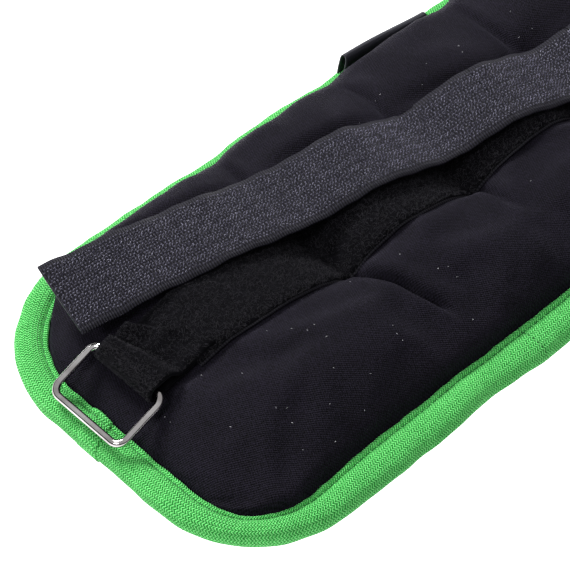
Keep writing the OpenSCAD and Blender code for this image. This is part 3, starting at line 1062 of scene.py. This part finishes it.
def build_holder():
    profile = catmull(fold_profile(), 4)
    cols = 15
    top, bottom = ribbon_from_profile(profile, RING_Y - HOLDER_HALF, RING_Y + HOLDER_HALF, cols, 1.3, 0.25)
    side = np.linspace(-1, 1, cols)
    over = np.clip((profile[:, 0] - RING_X) / 20, 0, 1) * (np.arange(len(profile)) < len(profile) * 0.45)
    for g in (top, bottom):
        # the sewn end of the upper layer lies askew and is crumpled
        g[..., 0] -= over[:, None] * (side * 8.0 + 2.0 * side ** 2)
        g[..., 2] += over[:, None] * (0.5 * np.sin(side * 7 + 1) + 0.3 * np.sin(side * 13))
    verts, faces = closed_sheet(top, bottom)
    run = np.concatenate([[0], np.cumsum(np.linalg.norm(np.diff(profile, axis=0), axis=1))])
    uv = np.stack([np.repeat(run, cols), verts[:len(run) * cols, 1]], -1) * MM
    obj = mesh_object("ring_holder_tape", verts, faces, M_PILE, uv=np.concatenate([uv, uv]))
    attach(obj, "pocket_1")
    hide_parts("ring_holder")
    fuzz = Collector()
    for _ in range(3200):
        r, c = rng.uniform(0, len(profile) * 0.72), rng.uniform(0, cols - 1.001)
        i, j = int(r), int(c)
        base = bottom[i, j] + (bottom[min(i + 1, len(profile) - 1), j] - bottom[i, j]) * (r - i)
        base = base + (bottom[i, j + 1] - bottom[i, j]) * (c - j)
        outward = (bottom[i, j] - top[i, j]) / np.linalg.norm(top[i, j] - bottom[i, j])
        fuzz.add(*fibre_loop(base, outward, rng.uniform(0.7, 1.6), rng.uniform(0.3, 0.8),
                             rng.uniform(0, math.pi), rng.uniform(0.03, 0.06)))
    obj = fuzz.build("holder_fibres", M_FIBRE)
    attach(obj, "pocket_1")


build_holder()

ring = frame["nodes"]["ring"]
for s in ring.material_slots:
    s.material = M_STEEL
ring.data.polygons.foreach_set("use_smooth", [True] * len(ring.data.polygons))


# ---- hook strap
def strap_line(x):
    """Middle of the loose strap: y, z and roll in degrees, towards the near side."""
    y = tape_mid(x) + STRAP_SLOPE * max(0.0, STRAP_TURN_X - x)
    keys = np.array([
        (-148, 28.0, 10), (-138, 28.6, 9), (-120, 29.2, 6), (-100, 29.0, 3), (-80, 28.2, 0), (-66, 26.6, -1),
        (-54, 25.6, 0), (-40, 28.4, 0), (-24, 29.6, 0), (-10, 27.0, -4), (0, 23.6, -5), (8, 25.0, -2),
        (20, 29.2, 0), (34, 30.2, 0), (50, 27.6, 0), (60, 24.0, -3), (70, 27.2, 0), (84, 30.0, 0),
        (100, 29.6, 0), (117, 28.4, 0), (132, 25.2, 0), (146, 19.4, 0), (156, 14.4, 0)])
    z = np.interp(x, keys[:, 0], keys[:, 1])
    roll = np.interp(x, keys[:, 0], keys[:, 2])
    return y, z, roll


STRAP_X0 = STRAP_LO[0] - 2.0
STRAP_X1 = ANCHOR_HI[0]
strap_stations = np.arange(STRAP_X0, STRAP_X1 + 0.01, 1.0)
strap_mid = np.array([strap_line(x)[:2] for x in strap_stations])
soften = np.hanning(11) / np.hanning(11).sum()
strap_y_line, strap_z_line = (
    np.convolve(np.pad(strap_mid[:, i], 5, mode="reflect", reflect_type="odd"), soften, mode="valid")
    for i in (0, 1))


def strap_point(x, side, lift=0.0):
    """A point on the strap's upper face: side from -1, the near selvage, to 1, the far one."""
    y = np.interp(x, strap_stations, strap_y_line)
    z = np.interp(x, strap_stations, strap_z_line)
    roll = math.radians(strap_line(x)[2])
    skew = math.atan(TAPE_SLOPE - (STRAP_SLOPE if x < STRAP_TURN_X else 0.0))
    half = STRAP_W / 2
    d = side * half
    flutter = 0.5 * math.sin(x * 0.21 + 1.0) * abs(side) ** 3 + 0.25 * math.sin(x * 0.53 + side)
    return np.array([x - d * math.sin(skew) * math.cos(roll), y + d * math.cos(skew) * math.cos(roll),
                     z + d * math.sin(roll) + flutter + lift])


# The strap is cut into four stretches; STRAP_BENDS gives the valley in each of the first three and none for
# the last, which runs to the anchor's end.
STRAP_CUTS = [STRAP_X0, (VALLEYS[0] + VALLEYS[1]) / 2, (VALLEYS[1] + VALLEYS[2]) / 2, 110.0, STRAP_X1]
STRAP_BENDS = [VALLEYS[0], VALLEYS[1], VALLEYS[2], None]


def strap_follow(obj, k):
    if STRAP_BENDS[k] is None:
        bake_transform(obj)
    else:
        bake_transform(obj)


def build_strap():
    cols = 21
    thick = 1.1
    for k in range(4):
        a, b = STRAP_CUTS[k], STRAP_CUTS[k + 1]
        xs = np.linspace(a, b, max(8, round((b - a) / 1.5)))
        sides = np.linspace(-1, 1, cols)
        top = np.array([[strap_point(x, s) for s in sides] for x in xs])
        bottom = top.copy()
        bottom[..., 2] -= thick
        top[:, 0, 2] -= 0.3
        top[:, -1, 2] -= 0.3
        verts, faces = closed_sheet(top, bottom)
        uv = np.array([(x * MM, s * STRAP_W / 2 * MM) for x in xs for s in sides])
        obj = mesh_object(f"hook_strap_{k + 1}", verts, faces, M_STRAP, uv=np.concatenate([uv, uv]))
        strap_follow(obj, k)
        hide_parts(f"strap_{k + 1}")


build_strap()


def hook(base, along, side, height):
    """One nylon hook: a stem that curls over along the strap, four-sided."""
    up = np.array([0, 0, 1.0])
    pts = [base, base + up * height * 0.55 + along * 0.05, base + up * height * 0.92 + along * 0.22,
           base + up * height + along * 0.5, base + up * height * 0.78 + along * 0.72]
    widths = [0.13, 0.13, 0.15, 0.15, 0.08]
    verts, faces = [], []
    for i, (p, w) in enumerate(zip(pts, widths)):
        t = pts[min(i + 1, 4)] - pts[max(i - 1, 0)]
        t = t / np.linalg.norm(t)
        n = np.cross(side, t)
        verts += [p + side * w, p + n * w, p - side * w, p - n * w]
    for i in range(4):
        for c in range(4):
            d = (c + 1) % 4
            faces.append((i * 4 + c, i * 4 + d, i * 4 + 4 + d, i * 4 + 4 + c))
    faces.append((19, 18, 17, 16))
    return verts, faces


def build_hooks():
    """Rows of hooks between the plain selvages."""
    margin = 3.0
    pitch_x, pitch_y = 1.35, 1.2
    count = round((STRAP_W - 2 * margin) / pitch_y)
    parts = [Collector() for _ in range(4)]
    for i in range(int((STRAP_X1 - STRAP_X0 - 8) / pitch_x)):
        for j in range(count + 1):
            x = STRAP_X0 + 0.8 + i * pitch_x + (0.5 * pitch_x if j % 2 else 0) + rng.uniform(-0.16, 0.16)
            side = (-1 + 2 * j / count) * (1 - 2 * margin / STRAP_W) + rng.uniform(-0.012, 0.012)
            k = next(q for q in range(4) if x < STRAP_CUTS[q + 1] or q == 3)
            base = strap_point(x, side, -0.1)
            way = 1 if (j // 2) % 2 else -1
            lean = rng.uniform(-0.5, 0.5)
            a = np.array([way * math.cos(lean), math.sin(lean), 0])
            parts[k].add(*hook(base, a, np.array([-a[1], a[0], 0]), rng.uniform(0.85, 1.25)))
    for k, part in enumerate(parts):
        obj = part.build(f"strap_hooks_{k + 1}", M_HOOK_PAINTED_GLINT)
        strap_follow(obj, k)


build_hooks()


def build_anchor():
    """The strap's sewn end under the fold."""
    xs = np.arange(ANCHOR_LO[0], ANCHOR_HI[0] + 0.1, 2.0)
    half = STRAP_W / 2 - 0.3
    top, bottom = ribbon_strip(xs, -half, half, tape_surface, 11, 0.15, 1.1)
    verts, faces = closed_sheet(top, bottom)
    obj = mesh_object("strap_sewn_end", verts, faces, M_STRAP, uv=verts[:, :2] * MM)
    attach(obj, "pocket_4")
    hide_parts("strap_anchor")


build_anchor()


# ---- label tab
def build_label():
    """A ribbon folded double and sewn into the far edge, blank, its fold standing up."""
    x0, x1 = TAB_LO[0], TAB_HI[0]
    mid = (TAB_LO[1] + TAB_HI[1]) / 2
    foot = TAB_LO[2] - 0.6
    tall = TAB_HI[2] - foot
    outline = [(-1.5, 0), (-1.6, tall * 0.4), (-1.5, tall * 0.85), (-0.7, tall), (0.6, tall),
               (1.3, tall * 0.85), (1.5, tall * 0.4), (1.3, 0)]
    profile = catmull(np.array([(mid + a, foot + b) for a, b in outline]), 4)
    d = np.gradient(profile, axis=0)
    d /= np.linalg.norm(d, axis=1, keepdims=True)
    n = np.stack([-d[:, 1], d[:, 0]], -1) * 0.25
    xs = np.linspace(x0, x1, 30)
    lean = -2.2 + 0.4 * np.sin((xs - x0) * 0.11)
    rise = np.interp(xs, [x0, x1], [1.12, 0.62])    # it lies lower towards its right end
    top = np.array([[(x, p[0] + m[0] + le * (p[1] - foot) / tall, foot + (p[1] - foot) * up + m[1])
                     for x, le, up in zip(xs, lean, rise)] for p, m in zip(profile, n)])
    bottom = np.array([[(x, p[0] - m[0] + le * (p[1] - foot) / tall, foot + (p[1] - foot) * up - m[1])
                        for x, le, up in zip(xs, lean, rise)] for p, m in zip(profile, n)])
    verts, faces = closed_sheet(top, bottom)
    obj = mesh_object("blank_label", verts, faces, M_LABEL, uv=verts[:, :2] * MM)
    across_valley(obj)
    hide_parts("label_tab")


build_label()


# ---- lint
def build_lint():
    parts = [Collector() for _ in range(3)]
    for _ in range(110):
        x = rng.uniform(-150, 150)
        y = rng.uniform(-58, 44)
        if abs(y - tape_mid(x)) < TAPE_W / 2 + 2:
            continue
        k = stretch_of(x)
        z = float(cover_height(x, y)) + 0.08
        turn = rng.uniform(0, 6.28)
        reach = rng.uniform(0.15, 0.7)
        q = (x + reach * math.cos(turn), y + reach * math.sin(turn))
        parts[k].add(*capsule((x, y, z), (*q, float(cover_height(*q)) + 0.12), rng.uniform(0.05, 0.11), 5))
    finish_stretches(parts, "lint", M_LINT)


build_lint()

# ---- hidden inner pieces
for name, obj in frame["nodes"].items():
    if name.startswith(("weight_bag", "partition", "shot")):
        for s in obj.material_slots:
            s.material = M_SHOT if name.startswith("shot") else M_BAG

# ---- stage, light and camera
scene = bpy.context.scene
world = bpy.data.worlds.new("studio")
world.use_nodes = True
sky = world.node_tree
sky_dir = sky.nodes.new("ShaderNodeTexCoord")
sky_split = sky.nodes.new("ShaderNodeSeparateXYZ")
sky.links.new(sky_dir.outputs["Generated"], sky_split.inputs[0])
sky_shade = ramp(sky, sky_split.outputs[2], [(0.0, (0.03, 0.022, 0.028)), (0.30, (0.06, 0.05, 0.06)),
                                             (0.52, (1, 1, 1))])
sky.links.new(sky_shade, sky.nodes["Background"].inputs[0])
world.node_tree.nodes["Background"].inputs[1].default_value = 0.55
scene.world = world
scene.view_settings.view_transform = "Standard"


def area_light(name, location, target, size, watts):
    data = bpy.data.lights.new(name, "AREA")
    data.energy = watts
    data.size = size
    data.shape = "DISK"
    obj = bpy.data.objects.new(name, data)
    scene.collection.objects.link(obj)
    obj.location = location
    obj.rotation_euler = (Vector(target) - Vector(location)).to_track_quat("-Z", "Y").to_euler()
    return obj


area_light("key", (0.1, 1.3, 1.1), (-0.05, 0, 0), 0.6, 36)
area_light("fill", (-1.3, 0.1, 1.0), (-0.05, 0, 0), 0.4, 9)

floor_mesh = bpy.data.meshes.new("floor")
FLOOR_HALF, FLOOR_Z = 6, -0.2
FLOOR_CORNERS = ((-1, -1), (1, -1), (1, 1), (-1, 1))
floor_mesh.from_pydata([(x * FLOOR_HALF, y * FLOOR_HALF, FLOOR_Z) for x, y in FLOOR_CORNERS],
                       [], [(0, 1, 2, 3)])
floor = bpy.data.objects.new("floor", floor_mesh)
scene.collection.objects.link(floor)
floor_mat, _, floor_bsdf = new_material("floor_white")
settings(floor_bsdf, Base_Color=(0.9, 0.9, 0.9, 1), Emission_Color=(1, 1, 1, 1), Emission_Strength=0.75)
floor_mesh.materials.append(floor_mat)

camera = bpy.data.cameras.new("camera")
camera.lens = 184.57
camera.sensor_width = 36
camera_object = bpy.data.objects.new("camera", camera)
scene.collection.objects.link(camera_object)
# the camera's place, angles and lens were fitted to the reference view
CAMERA_AT = Vector((-0.54398, -0.47898, 0.78489))
AZIMUTH, ELEVATION = math.radians(-43.82), math.radians(48.89)
BACK = Vector((math.sin(AZIMUTH) * math.cos(ELEVATION), -math.cos(AZIMUTH) * math.cos(ELEVATION),
               math.sin(ELEVATION)))
camera_object.location = CAMERA_AT
camera_object.rotation_euler = (-BACK).to_track_quat("-Z", "Y").to_euler()
scene.camera = camera_object
